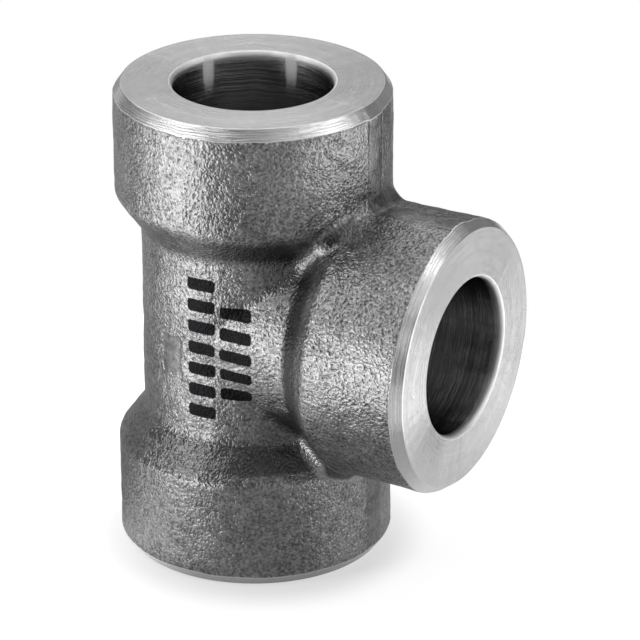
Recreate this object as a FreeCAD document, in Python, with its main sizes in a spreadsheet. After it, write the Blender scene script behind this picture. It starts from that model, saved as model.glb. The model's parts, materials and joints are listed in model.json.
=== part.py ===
"""Socket weld tee: a forged steel pipe fitting with three equal socket ends.

The tee is one forging. Three arms of the same section meet at the crossing of the
axes: two in line make the run, along Z, and the third is the branch, along +X. Each
arm is a barrel that rises, over a sloped shoulder, to a thicker band round its socket.
The valleys between the run and the branch are rounded, as the die leaves them. Each
end is then turned: faced, chamfered, bored, and counterbored to take the pipe.

The forging is drawn about the crossing of its axes and stands on its lower end face,
at z = 0. Lengths are in millimetres and angles in degrees.
"""

import FreeCAD, Part
import Sketcher
import math
import os
from enum import IntEnum, auto

# Name, value and meaning of each driving dimension
DIMENSIONS = [
    ("band_od", 38.1, "outside diameter of the band round each socket"),
    ("barrel_od", 30.9, "outside diameter of the arms between the bands"),
    ("run_centre_to_end", 33.8, "from the crossing of the axes to each end of the run"),
    ("branch_centre_to_end", 33.2, "from the crossing of the axes to the branch's end"),
    ("centre_to_band", 19.15, "from the crossing to where a band's side starts"),
    ("shoulder_slope", 37.0, "angle of a shoulder, measured from the arm's axis"),
    ("shoulder_radius", 2.55, "round where a shoulder turns into the band's side"),
    ("root_radius", 2.9, "hollow where a shoulder meets the barrel"),
    ("crotch_radius", 2.1, "hollow of the valleys between the run and the branch"),
    ("socket_bore", 22.0, "diameter of the sockets that take the pipe"),
    ("centre_to_socket", 19.0, "from the crossing to the bottom of a socket"),
    ("flow_bore", 11.8, "diameter of the passage between the sockets"),
    ("mouth_bevel", 0.5, "bevel at the mouth of a socket, the same both ways"),
    ("chamfer_length", 1.35, "end chamfer, measured along the arm"),
    ("chamfer_depth", 1.0, "end chamfer, measured across the end face"),
]

# Every sketch's numbers for its origin and its two axes
ORIGIN = (-1, 1)
HORIZONTAL_AXIS = ORIGIN[0]
VERTICAL_AXIS = HORIZONTAL_AXIS - 1

# The directions across and along each arm, in a sketch on the XZ plane
UPPER_END = ((-1, 0), (0, 1))
LOWER_END = ((-1, 0), (0, -1))
BRANCH_END = ((0, 1), (1, 0))

FULL_TURN, HALF_TURN, QUARTER_TURN = 360, 180, 90
SAME_PLACE = 1e-6
ON_MITRE = 1e-3


class End(IntEnum):
    """The ends of a line or an arc, as a sketch numbers them."""

    START = auto()
    LAST = auto()


class Size:
    """A size worked out from the sheet: its value, and its formula in the document."""

    def __init__(self, value, formula):
        self.value = value
        self.formula = formula

    def __add__(self, other):
        return Size(self.value + other.value, f"({self.formula} + {other.formula})")

    def __sub__(self, other):
        return Size(self.value - other.value, f"({self.formula} - {other.formula})")

    def half(self):
        return Size(self.value / 2, f"{self.formula} / 2")


ON_AXIS = Size(0.0, "0")


def make_sheet(doc):
    """Writes the driving dimensions into a sheet, and returns them by name."""
    sheet = doc.addObject("Spreadsheet::Sheet", "Dimensions")
    for row, (name, value, meaning) in enumerate(DIMENSIONS, start=1):
        sheet.set(f"A{row}", meaning)
        sheet.set(f"B{row}", str(value))
        sheet.setAlias(f"B{row}", name)
    doc.recompute()
    return {name: Size(value, f"Dimensions.{name}") for name, value, meaning in DIMENSIONS}


class ArmSketch:
    """A sketch on the XZ plane, drawn as half of an arm's section.

    A point is (r, s): r across the arm from its axis, and s along it from the crossing.
    across and along say which way r and s go in the sketch, so one outline fits each arm.
    """

    def __init__(self, body, name, directions):
        self.sketch = body.newObject("Sketcher::SketchObject", name)
        self.sketch.AttachmentSupport = (origin_plane(body, "XZ_Plane"), [""])
        self.sketch.MapMode = "FlatFace"
        self.across, self.along = (FreeCAD.Vector(*d) for d in directions)

    def point(self, r, s):
        return self.across * r + self.along * s

    def line(self, start, end):
        return self.sketch.addGeometry(Part.LineSegment(self.point(*start), self.point(*end)))

    def arc(self, centre, radius, first, last):
        """An arc whose angles turn from the r direction towards the s direction."""
        turns = (first, (first + last) / 2, last)
        points = [
            self.point(centre[0] + radius * math.cos(t), centre[1] + radius * math.sin(t))
            for t in turns
        ]
        return self.sketch.addGeometry(Part.Arc(*points))

    def end_at(self, piece, point):
        """Which end of a line or an arc lies at the point."""
        gap = self.sketch.getPoint(piece, End.START).distanceToPoint(self.point(*point))
        return End.START if gap < SAME_PLACE else End.LAST

    def join(self, kind, first, second, point):
        """Joins two pieces at a point: Coincident for a corner, Tangent for a smooth run."""
        ends = (first, self.end_at(first, point), second, self.end_at(second, point))
        self.sketch.addConstraint(Sketcher.Constraint(kind, *ends))

    def align(self, piece, direction):
        """Keeps a line parallel to a direction of the sketch."""
        kind = "Vertical" if direction.y else "Horizontal"
        self.sketch.addConstraint(Sketcher.Constraint(kind, piece))

    def measure(self, kind, references, size, sign=1):
        """Adds a measure that follows the sheet."""
        constraint = Sketcher.Constraint(kind, *references, sign * size.value)
        index = self.sketch.addConstraint(constraint)
        self.sketch.setExpression(f"Constraints[{index}]", f"{sign} * {size.formula}")

    def hold(self, piece, end, direction, size):
        """Holds an end of a piece at a size from the crossing, in one direction."""
        if size is ON_AXIS:
            axis = VERTICAL_AXIS if direction.x else HORIZONTAL_AXIS
            self.sketch.addConstraint(Sketcher.Constraint("PointOnObject", piece, end, axis))
            return
        kind = "DistanceX" if direction.x else "DistanceY"
        sign = int(direction.x + direction.y)
        self.measure(kind, (*ORIGIN, piece, end), size, sign)

    def polygon(self, corners):
        """A closed outline of straight lines, with every corner (r, s) held by its sizes."""
        places = [(r.value, s.value) for r, s in corners]
        following = places[1:] + places[:1]
        lines = [self.line(here, there) for here, there in zip(places, following)]
        for line, (r, s), before in zip(lines, corners, lines[-1:] + lines[:-1]):
            corner = Sketcher.Constraint("Coincident", before, End.LAST, line, End.START)
            self.sketch.addConstraint(corner)
            self.hold(line, End.START, self.across, r)
            self.hold(line, End.START, self.along, s)

    def in_turn(self, inner, outer):
        """Two lines in the order that makes the angle from the first to the second positive."""
        turn = self.along.cross(self.across).z
        return (inner, outer) if turn > 0 else (outer, inner)

    @property
    def axis(self):
        return (self.sketch, ["V_Axis" if self.along.y else "H_Axis"])


def draw_arm(arm_sketch, size, centre_to_end):
    """Half section of a forged arm: barrel, root, shoulder, round, band and end face."""
    band = size["band_od"].half()
    barrel = size["barrel_od"].half()
    slope = math.radians(size["shoulder_slope"].value)
    round_r = size["shoulder_radius"].value
    root_r = size["root_radius"].value
    band_start = size["centre_to_band"]

    # The round ends where its side has turned through the slope, and so does the root.
    round_centre = (band.value - round_r, band_start.value)
    round_end = (
        round_centre[0] + round_r * math.cos(slope),
        round_centre[1] - round_r * math.sin(slope),
    )
    root_end_r = barrel.value + root_r * (1 - math.cos(slope))
    slope_length = (round_end[0] - root_end_r) / math.sin(slope)
    root_end = (root_end_r, round_end[1] - slope_length * math.cos(slope))
    root_centre = (barrel.value + root_r, root_end[1] - root_r * math.sin(slope))

    end = centre_to_end.value
    band_corner, band_foot = (band.value, end), (band.value, band_start.value)
    barrel_top, barrel_foot = (barrel.value, root_centre[1]), (barrel.value, 0)
    crossing, end_centre = (0, 0), (0, end)

    draw = arm_sketch
    face = draw.line(end_centre, band_corner)
    side = draw.line(band_corner, band_foot)
    rounding = draw.arc(round_centre, round_r, 0, -slope)
    shoulder = draw.line(root_end, round_end)
    root = draw.arc(root_centre, root_r, math.pi - slope, math.pi)
    barrel_side = draw.line(barrel_top, barrel_foot)
    foot = draw.line(barrel_foot, crossing)
    centre_line = draw.line(crossing, end_centre)

    draw.join("Coincident", face, side, band_corner)
    draw.join("Tangent", side, rounding, band_foot)
    draw.join("Tangent", rounding, shoulder, round_end)
    draw.join("Tangent", shoulder, root, root_end)
    draw.join("Tangent", root, barrel_side, barrel_top)
    draw.join("Coincident", barrel_side, foot, barrel_foot)
    draw.join("Coincident", foot, centre_line, crossing)
    draw.join("Coincident", centre_line, face, end_centre)

    for line in (side, barrel_side):
        draw.align(line, draw.along)
    for line in (face, foot):
        draw.align(line, draw.across)
    draw.hold(centre_line, End.START, draw.across, ON_AXIS)
    draw.hold(centre_line, End.START, draw.along, ON_AXIS)
    draw.hold(centre_line, End.LAST, draw.across, ON_AXIS)
    draw.hold(face, End.LAST, draw.along, centre_to_end)
    draw.hold(face, End.LAST, draw.across, band)
    draw.hold(side, End.LAST, draw.along, band_start)
    draw.hold(barrel_side, End.LAST, draw.across, barrel)
    draw.measure("Radius", (rounding,), size["shoulder_radius"])
    draw.measure("Radius", (root,), size["root_radius"])
    draw.measure("Angle", draw.in_turn(centre_line, shoulder), size["shoulder_slope"])


def draw_turned_end(arm_sketch, size, centre_to_end):
    """What the lathe takes from one end: its bores and bevel, and the chamfer outside."""
    band = size["band_od"].half()
    socket = size["socket_bore"].half()
    flow = size["flow_bore"].half()
    bottom = size["centre_to_socket"]
    bevel = size["mouth_bevel"]
    bores = [
        (ON_AXIS, ON_AXIS),
        (flow, ON_AXIS),
        (flow, bottom),
        (socket, bottom),
        (socket, centre_to_end - bevel),
        (socket + bevel, centre_to_end),
        (ON_AXIS, centre_to_end),
    ]
    chamfer = [
        (band, centre_to_end),
        (band - size["chamfer_depth"], centre_to_end),
        (band, centre_to_end - size["chamfer_length"]),
    ]
    arm_sketch.polygon(bores)
    arm_sketch.polygon(chamfer)


def origin_plane(body, role):
    return next(f for f in body.Origin.OriginFeatures if f.Role == role)


def turn_profile(body, kind, name, arm_sketch, angle):
    """Adds or removes the sketch's outline, turned round the arm's axis."""
    feature = body.newObject(f"PartDesign::{kind}", name)
    feature.Profile = arm_sketch.sketch
    feature.ReferenceAxis = arm_sketch.axis
    feature.Angle = angle
    arm_sketch.sketch.Visibility = False
    return feature


def valley_edges(shape):
    """The edges where the run and the branch meet: those in the mitre plane, x = z."""
    found = []
    for number, edge in enumerate(shape.Edges, start=1):
        span = edge.LastParameter - edge.FirstParameter
        points = [edge.valueAt(edge.FirstParameter + span * share) for share in (0, 0.5, 1)]
        if all(abs(p.x - p.z) < ON_MITRE for p in points):
            found.append(f"Edge{number}")
    return found


def forge_quarter(doc, body, size):
    """The quarter of the forging where y < 0 and z > 0, with its valley rounded.

    The upper arm turns half way round Z, from -X to +X, and the branch a quarter of the
    way round X, from +Z to -Y. The valley runs down their mitre plane from one cut of
    the quarter to the other, so the same rounding serves all four valleys.
    """
    arms = [
        ("UpperArm", UPPER_END, size["run_centre_to_end"], HALF_TURN),
        ("BranchArm", BRANCH_END, size["branch_centre_to_end"], QUARTER_TURN),
    ]
    for name, end, centre_to_end, angle in arms:
        section = ArmSketch(body, f"{name}Sketch", end)
        draw_arm(section, size, centre_to_end)
        arm = turn_profile(body, "Revolution", name, section, angle)
    doc.recompute()
    valley = body.newObject("PartDesign::Fillet", "Valley")
    valley.Base = (arm, valley_edges(arm.Shape))
    valley.setExpression("Radius", "Dimensions.crotch_radius")
    return valley


def mirror_all(body, name, role):
    """Mirrors everything made so far through one of the body's own planes."""
    mirrored = body.newObject("PartDesign::Mirrored", name)
    mirrored.TransformMode = "Whole shape"
    mirrored.MirrorPlane = (origin_plane(body, role), [""])
    mirrored.Refine = True
    body.Tip = mirrored
    return mirrored


def make_tee(doc, size):
    """The forging, made whole from its quarter, and its three turned ends."""
    body = doc.addObject("PartDesign::Body", "TeeBody")
    body.Label = "tee_body"
    forge_quarter(doc, body, size)
    mirror_all(body, "OtherDie", "XZ_Plane")
    mirror_all(body, "LowerHalf", "XY_Plane")
    doc.recompute()
    ends = [
        ("UpperEnd", UPPER_END, size["run_centre_to_end"]),
        ("LowerEnd", LOWER_END, size["run_centre_to_end"]),
        ("BranchEnd", BRANCH_END, size["branch_centre_to_end"]),
    ]
    for name, end, centre_to_end in ends:
        outline = ArmSketch(body, f"{name}Sketch", end)
        draw_turned_end(outline, size, centre_to_end)
        turn_profile(body, "Groove", name, outline, FULL_TURN)
    body.setExpression("Placement.Base.z", "Dimensions.run_centre_to_end * 1 mm")
    doc.recompute()
    return body


def check(doc, body):
    """Stops the build if a feature has failed or the solid isn't sound."""
    failed = [o.Name for o in doc.Objects if {"Invalid", "Error"} & set(o.State)]
    if failed:
        raise RuntimeError(f"these objects failed: {failed}")
    shape = body.Shape
    if shape.isNull() or not shape.isValid() or len(shape.Solids) != 1:
        raise RuntimeError(f"{body.Label} is not one valid solid")


def main():
    doc = FreeCAD.newDocument("SocketWeldTee")
    size = make_sheet(doc)
    tee = make_tee(doc, size)
    check(doc, tee)
    os.makedirs("parts", exist_ok=True)
    tee.Shape.exportStep(f"parts/{tee.Label}.step")


main()
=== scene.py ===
"""Looks of a forged steel socket weld tee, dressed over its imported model.

The tee is one forging, so it is one closed surface here: the shot-blasted skin of its
three arms, their turned ends, the sockets and the passages between them. The surface is
worked out on grids of angle and distance, and its finishes are procedural. Lengths are
in metres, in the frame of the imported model: the run stands along Z and the branch
points along +X.
"""

import json
import logging
import math
from dataclasses import dataclass
from enum import IntEnum
from typing import Any, Callable, Mapping, Sequence, Union

import bpy
import numpy as np
from bpy.types import ColorRamp, ID, Material, Node, NodeSocket, NodeTree, Object
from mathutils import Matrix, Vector


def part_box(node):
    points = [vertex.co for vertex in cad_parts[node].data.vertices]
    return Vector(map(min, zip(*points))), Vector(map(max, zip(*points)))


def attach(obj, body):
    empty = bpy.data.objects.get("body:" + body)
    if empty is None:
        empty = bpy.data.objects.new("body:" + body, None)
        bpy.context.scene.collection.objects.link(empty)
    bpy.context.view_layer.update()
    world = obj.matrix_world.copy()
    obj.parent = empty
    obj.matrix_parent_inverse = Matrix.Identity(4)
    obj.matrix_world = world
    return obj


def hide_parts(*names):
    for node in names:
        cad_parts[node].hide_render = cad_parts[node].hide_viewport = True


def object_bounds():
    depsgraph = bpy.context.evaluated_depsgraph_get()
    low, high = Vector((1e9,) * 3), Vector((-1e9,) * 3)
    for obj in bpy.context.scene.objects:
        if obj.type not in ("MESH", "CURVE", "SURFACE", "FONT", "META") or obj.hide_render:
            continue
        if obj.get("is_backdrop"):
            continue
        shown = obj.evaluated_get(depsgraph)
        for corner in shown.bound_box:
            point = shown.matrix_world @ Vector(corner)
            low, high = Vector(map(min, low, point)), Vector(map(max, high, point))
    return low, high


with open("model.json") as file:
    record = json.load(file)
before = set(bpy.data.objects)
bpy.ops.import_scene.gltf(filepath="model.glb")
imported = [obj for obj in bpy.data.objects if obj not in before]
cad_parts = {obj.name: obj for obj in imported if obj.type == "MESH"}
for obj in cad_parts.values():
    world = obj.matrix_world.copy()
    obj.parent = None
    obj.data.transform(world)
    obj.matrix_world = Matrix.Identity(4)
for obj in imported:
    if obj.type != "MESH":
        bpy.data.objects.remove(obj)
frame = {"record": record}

MM = 0.001
NODE = "tee_body"
QUARTER_TURN, FULL_TURN = math.pi / 2, 2 * math.pi
DEGREES_ROUND = 360.0
TINY = 1e-9

Array = np.ndarray
Pair = tuple[float, float]
Direction = tuple[float, float, float]
Lengths = tuple[float, ...]

log = logging.getLogger("socket_weld_tee")


def mm(*lengths: float) -> Lengths:
    """Lengths given in millimetres, in metres."""
    return tuple(length * MM for length in lengths)


def new_object(name: str, data: ID) -> Object:
    """Puts a new object with this data into the scene.

    Args:
        name: the object's name.
        data: its mesh, lamp or camera.

    Returns:
        The object.
    """
    made = bpy.data.objects.new(name, data)
    bpy.context.scene.collection.objects.link(made)
    return made


def corners(box: Sequence[Vector]) -> list[list[float]]:
    """A box's two corners as plain lists of numbers."""
    return [[float(value) for value in corner] for corner in box]


cad_box = corners(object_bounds())


class Finish(IntEnum):
    """The mesh's material slots, in order."""

    FORGED_SKIN = 0
    TURNED_STEEL = 1
    SOCKET_BORE = 2


@dataclass(frozen=True)
class FittingSizes:
    """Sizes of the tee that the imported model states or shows."""

    band_radius: float
    run_reach: float
    branch_reach: float
    crossing_height: float
    socket_radius: float
    socket_bottom: float
    mouth_bevel: float = 0.5 * MM
    lip_depth: float = 0.5 * MM
    lip_length: float = 0.75 * MM
    flow_radius: float = 5.9 * MM
    chamfer_length: float = 1.35 * MM
    chamfer_depth: float = 1.0 * MM

    @classmethod
    def from_frame(cls) -> "FittingSizes":
        """Reads the sizes from the model's box and its mounts.

        Returns:
            The sizes, in metres.
        """
        low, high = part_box(NODE)
        mounts = {mount["name"]: mount for mount in frame["record"]["mounts"]}
        socket = mounts["upper_socket"]["dims"]
        run_reach = (high.z - low.z) / 2
        return cls(
            band_radius=(high.y - low.y) / 2,
            run_reach=run_reach,
            branch_reach=high.x,
            crossing_height=low.z + run_reach,
            socket_radius=socket["r_mm"] * MM,
            socket_bottom=run_reach - cls.mouth_bevel - socket["length_mm"] * MM,
        )


@dataclass(frozen=True)
class ArmOutline:
    """Outline of a forged arm: barrel, hollow root, sloped shoulder, round and band."""

    band_radius: float
    barrel_radius: float = 15.45 * MM
    band_start: float = 19.15 * MM
    slope: float = math.radians(37.0)
    shoulder_radius: float = 2.55 * MM
    root_radius: float = 2.9 * MM

    def gap(self, radial: Array, along: Array) -> tuple[Array, Array, Array]:
        """Signed distance to the outline, and the direction in which it grows.

        Each stretch of the outline owns the points between the square lines at its two
        ends. The distance to a straight stretch is taken square to it, and the distance
        to an arc is taken from its centre.

        Args:
            radial: distances from the arm's axis.
            along: distances from the crossing, along the arm.

        Returns:
            The distance, positive outside, and the parts of its direction that point
            away from the axis and along the arm.
        """
        out, back = math.cos(self.slope), -math.sin(self.slope)
        past_band = along - self.band_start
        round_axis = self.band_radius - self.shoulder_radius
        round_foot = round_axis + self.shoulder_radius * out
        root_top = self.barrel_radius + self.root_radius * (1 - out)
        length = (round_foot - root_top) / -back
        root_end = self.band_start + self.shoulder_radius * back - length * out
        root_axis = self.barrel_radius + self.root_radius
        root_start = root_end + self.root_radius * back
        up_slope = (along - root_end) * out - (radial - root_top) * back
        hollow = np.hypot(root_axis - radial, root_start - along)
        rounding = np.hypot(radial - round_axis, past_band)
        stretches = [along < root_start, up_slope < 0, up_slope < length, past_band < 0]
        distance = [
            radial - self.barrel_radius,
            self.root_radius - hollow,
            (radial - root_top) * out + (along - root_end) * back,
            rounding - self.shoulder_radius,
        ]
        hollow, rounding = hollow + TINY, rounding + TINY
        outward = [1.0, (root_axis - radial) / hollow, out, (radial - round_axis) / rounding]
        lengthwise = [0.0, (root_start - along) / hollow, back, past_band / rounding]
        return (
            np.select(stretches, distance, radial - self.band_radius),
            np.select(stretches, outward, 1.0),
            np.select(stretches, lengthwise, 0.0),
        )


@dataclass(frozen=True)
class Relief:
    """What the die and the shot leave on the forging, as a height off its true form.

    The height is the forging's small offset from the turned axes, a field of lumps made
    of cosine waves in seeded directions, and the low plateau of the trimmed flash. Each
    set of lumps is a wavelength, a height and a number of waves.
    """

    offset: Lengths = mm(0.04, -0.08, -0.05)
    lumps: tuple[tuple[float, float, int], ...] = (
        (9.0 * MM, 0.050 * MM, 24),
        (3.6 * MM, 0.028 * MM, 40),
        (1.7 * MM, 0.016 * MM, 56),
    )
    lump_spread: Pair = (0.8, 1.3)
    flash_half_width: float = 1.7 * MM
    flash_edge: float = 0.5 * MM
    flash_height: float = 0.10 * MM
    seed: int = 7

    def height(self, points: Array, normals: Array) -> Array:
        """The height of the relief at each point.

        Args:
            points: places on the true form, from the crossing of the axes.
            normals: its outward directions there.

        Returns:
            The height at each point, along its normal.
        """
        draw = np.random.default_rng(self.seed)
        total = normals @ np.array(self.offset)
        for wavelength, amplitude, count in self.lumps:
            directions = draw.normal(size=(count, 3))
            directions /= np.linalg.norm(directions, axis=1, keepdims=True)
            pitch = wavelength * draw.uniform(*self.lump_spread, size=count)
            phase = draw.uniform(0, FULL_TURN, size=count)
            waves = points @ (directions * (FULL_TURN / pitch)[:, None]).T + phase
            total += amplitude * np.cos(waves).sum(axis=1) / math.sqrt(count)
        inside = (self.flash_half_width + self.flash_edge - np.abs(points[:, 1])) / self.flash_edge
        ramp = np.clip(inside, 0, 1)
        return total + self.flash_height * ramp * ramp * (3 - 2 * ramp)


@dataclass(frozen=True)
class Forging:
    """The forging's true form: two crossing sets of arms, with rounded valleys.

    Directions are measured over a short probe, a radius is found by halving a range, and
    two surfaces whose directions hardly spread count as parallel.
    """

    arm: ArmOutline
    crotch_radius: float = 2.1 * MM
    probe: float = 0.01 * MM
    parallel: float = 1e-6
    halvings: int = 34

    def gap(self, across: Array, side: Array, along: Array, crossed: Array) -> Array:
        """Signed gap to the whole form, in an arm's own directions.

        Where another arm crosses, a ball that touches both surfaces rounds the valley.
        Its centre lies a ball's radius from each. How far a point lies short of the
        centre, square to each surface, and the angle between the two surfaces give the
        point's distance from the centre. Beside the ball the nearer surface counts.

        Args:
            across: distances from the arm's axis, towards the arm that crosses it.
            side: distances square to both axes.
            along: distances from the crossing, along the arm.
            crossed: where another arm crosses.

        Returns:
            The gap at each point, positive outside.
        """
        own_radial = np.maximum(np.hypot(across, side), self.probe)
        other_radial = np.maximum(np.hypot(side, along), self.probe)
        own, own_out, own_up = self.arm.gap(own_radial, along)
        other, other_out, other_up = self.arm.gap(other_radial, np.abs(across))
        alike = own_out * other_up * np.abs(across) / own_radial
        alike += own_up * other_out * along / other_radial
        alike += own_out * other_out * side**2 / (own_radial * other_radial)
        short, other_short = self.crotch_radius - own, self.crotch_radius - other
        spread = 1 - alike**2
        apart = np.maximum(short**2 + other_short**2 - 2 * short * other_short * alike, 0)
        reach = np.sqrt(apart / np.maximum(spread, self.parallel))
        on_ball = np.logical_and(short > other_short * alike, other_short > short * alike)
        on_ball = np.logical_and(on_ball, spread > self.parallel)
        joined = np.where(on_ball, self.crotch_radius - reach, np.minimum(own, other))
        return np.where(crossed, joined, own)

    def solve(self, gap_at: Callable[[Array], Array], limit: Array) -> Array:
        """The radius at which a gap that grows outwards is nil, found by halving.

        Args:
            gap_at: the gap as a function of the radius.
            limit: a radius beyond the surface, for each ray.

        Returns:
            The radius for each ray.
        """
        low, high = np.full(limit.shape, self.arm.barrel_radius / 2), limit
        for _ in range(self.halvings):
            middle = (low + high) / 2
            outside = gap_at(middle) > 0
            high = np.where(outside, middle, high)
            low = np.where(outside, low, middle)
        return (low + high) / 2

    def mitre(self, turn: Array, crossed: Array) -> Array:
        """How far along the arm each direction meets the plane it shares with another arm.

        Args:
            turn: angles round the arm.
            crossed: where another arm crosses.

        Returns:
            The distance for each direction, and 0 where no arm crosses.
        """
        reach = np.abs(np.cos(turn))

        def gap_at(radius: Array) -> Array:
            """The gap on the shared plane."""
            return self.gap(radius * np.cos(turn), radius * np.sin(turn), radius * reach, crossed)

        limit = np.full(turn.shape, 2 * self.arm.band_radius)
        return np.where(crossed, self.solve(gap_at, limit) * reach, 0.0)

    def surface(self, turn: Array, along: Array, crossed: Array) -> tuple[Array, Array]:
        """Points of the true form and its outward directions, in an arm's own directions.

        Each point lies on the ray that leaves the arm's axis at the given angle. A ray
        ends at the plane that the arm shares with the one that crosses it, unless it
        runs along that plane.

        Args:
            turn: angles round the arm.
            along: distances along the arm.
            crossed: where another arm crosses.

        Returns:
            The points and the normals, one row each.
        """

        def gap_at(radius: Array) -> Array:
            """The gap along each ray."""
            return self.gap(radius * np.cos(turn), radius * np.sin(turn), along, crossed)

        beyond, facing = 2 * self.arm.band_radius, np.abs(np.cos(turn))
        to_plane = along / np.maximum(facing, TINY)
        bounded = np.logical_and(crossed, facing > TINY)
        limit = np.where(bounded, np.minimum(beyond, to_plane), beyond)
        radius = self.solve(gap_at, limit)
        points = np.stack([radius * np.cos(turn), radius * np.sin(turn), along], axis=-1)
        normals = np.empty_like(points)
        for axis in range(3):
            step = np.zeros(3)
            step[axis] = self.probe
            ahead = self.gap(*np.moveaxis(points + step, -1, 0), crossed)
            behind = self.gap(*np.moveaxis(points - step, -1, 0), crossed)
            normals[..., axis] = ahead - behind
        normals /= np.linalg.norm(normals, axis=-1, keepdims=True)
        return points, normals


@dataclass(frozen=True)
class ArmPlace:
    """How an arm's own directions lie in the model: across, side and along it."""

    across: Direction
    along: Direction
    reach: float
    crossed_all_round: bool

    @property
    def basis(self) -> Array:
        """The arm's three directions as the rows of a matrix."""
        return np.array([self.across, (0.0, 1.0, 0.0), self.along])

    @property
    def mirrored(self) -> bool:
        """Whether the arm's directions are left-handed in the model."""
        return bool(np.linalg.det(self.basis) < 0)


@dataclass
class TeeSurface:
    """The whole surface of the tee: three grids that share their rows at the crossing.

    A column runs from the crossing along the skin, over the turned end and back through
    the passage. Near a worn corner two rows lie one and two widths of the wear from it.
    """

    sizes: FittingSizes
    forging: Forging
    relief: Relief
    columns: int = 300
    skin_rows: int = 82
    lip_rows: int = 7
    passage_rows: int = 4
    edge_wear: float = 0.06 * MM
    edge_rounds: int = 4
    eased: float = 0.5
    eased_side: Lengths = mm(1.6, 2.6)
    eased_start: Lengths = mm(11.4, 12.4)
    easing_steps: int = 14

    def places(self) -> tuple[ArmPlace, ArmPlace, ArmPlace]:
        """The three arms.

        Returns:
            The places of the upper arm, the lower arm and the branch.
        """
        run, branch = self.sizes.run_reach, self.sizes.branch_reach
        return (
            ArmPlace((1.0, 0.0, 0.0), (0.0, 0.0, 1.0), run, False),
            ArmPlace((1.0, 0.0, 0.0), (0.0, 0.0, -1.0), run, False),
            ArmPlace((0.0, 0.0, 1.0), (1.0, 0.0, 0.0), branch, True),
        )

    def turns(self) -> Array:
        """The columns' angles, from a quarter turn before the arm that crosses."""
        return np.arange(self.columns) * FULL_TURN / self.columns - QUARTER_TURN

    def skin(self, place: ArmPlace) -> tuple[Array, Array, Array]:
        """The forged skin of one arm, from the crossing nearly to the edge of its chamfer.

        The edge is where the skin, with its relief, meets the chamfer's cone, so it
        wanders as the skin does. A few rounds find it.

        Args:
            place: the arm's place.

        Returns:
            The skin's points by row and column, in the arm's own directions, and the
            radius and distance of the chamfer's edge at each column.
        """
        turn = self.turns()
        half = np.arange(self.columns) <= self.columns // 2
        crossed = np.logical_or(half, place.crossed_all_round)
        start = self.forging.mitre(turn, crossed)
        face_radius = self.sizes.band_radius - self.sizes.chamfer_depth
        per_depth = self.sizes.chamfer_length / self.sizes.chamfer_depth
        edge = np.full(self.columns, place.reach - self.sizes.chamfer_length)
        for _ in range(self.edge_rounds):
            rim = self.raised(place, *self.forging.surface(turn, edge, crossed))
            skin_radius = np.hypot(rim[:, 0], rim[:, 1])
            edge = place.reach - (skin_radius - face_radius) * per_depth
        rows = np.linspace(0, 1, self.skin_rows)[:, None]
        along = start + (edge - 2 * self.edge_wear - start) * rows
        along = np.vstack([along, edge - self.edge_wear])
        grid = np.broadcast_to(turn, along.shape)
        where = np.broadcast_to(crossed, along.shape)
        return self.raised(place, *self.forging.surface(grid, along, where)), skin_radius, edge

    def raised(self, place: ArmPlace, points: Array, normals: Array) -> Array:
        """Moves points along their normals by the relief.

        Args:
            place: the arm's place.
            points: points of the true form, in the arm's own directions.
            normals: its outward directions there.

        Returns:
            The points, moved.
        """
        flat, flat_normals = points.reshape(-1, 3), normals.reshape(-1, 3)
        height = self.relief.height(flat @ place.basis, flat_normals @ place.basis)
        return (flat + flat_normals * height[:, None]).reshape(points.shape)

    def turned_end(
        self, place: ArmPlace, edge_radius: Array, edge: Array
    ) -> tuple[Array, list[Finish]]:
        """What the lathe leaves of an arm: chamfer, face, rounded mouth, socket and ledge.

        Every corner but the mouth's is worn by a narrow slant. The outline is the same
        all round but for the chamfer's outer edge. From the mouth inwards the steel has
        the bore's finish.

        Args:
            place: the arm's place.
            edge_radius: the radius of the chamfer's outer edge at each column.
            edge: its distance along the arm.

        Returns:
            Radius and distance by row and column, and the finish of the row of faces
            that ends at each row.
        """
        size, end = self.sizes, place.reach
        leaving = (self.edge_wear, 2 * self.edge_wear)
        nearing = leaving[::-1]
        face, bottom = size.band_radius - size.chamfer_depth, size.socket_bottom
        slant = math.hypot(size.chamfer_depth, size.chamfer_length)
        inwards, upwards = size.chamfer_depth / slant, size.chamfer_length / slant
        mouth = size.socket_radius + size.lip_depth
        lean = np.linspace(0, QUARTER_TURN, self.lip_rows)
        lip_along = end - size.lip_length * (1 - np.cos(lean))
        outside = [
            *[(edge_radius - step * inwards, edge + step * upwards) for step in leaving],
            *[(face + step * inwards, end - step * upwards) for step in nearing],
            *[(face - step, end) for step in leaving],
            *[(mouth + step, end) for step in nearing],
        ]
        inside = [
            *zip(mouth - size.lip_depth * np.sin(lean), lip_along),
            *[(size.socket_radius, bottom + step) for step in nearing],
            *[(size.socket_radius - step, bottom) for step in leaving],
            *[(size.flow_radius + step, bottom) for step in nearing],
            *[(size.flow_radius, bottom - step) for step in leaving],
        ]
        rows = np.zeros((len(outside) + len(inside), self.columns, 2))
        for row, (radius, along) in zip(rows, [*outside, *inside]):
            row[:, 0], row[:, 1] = radius, along
        finishes = [Finish.TURNED_STEEL] * (len(outside) + 1)
        return rows, finishes + [Finish.SOCKET_BORE] * (len(inside) - 1)

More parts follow.
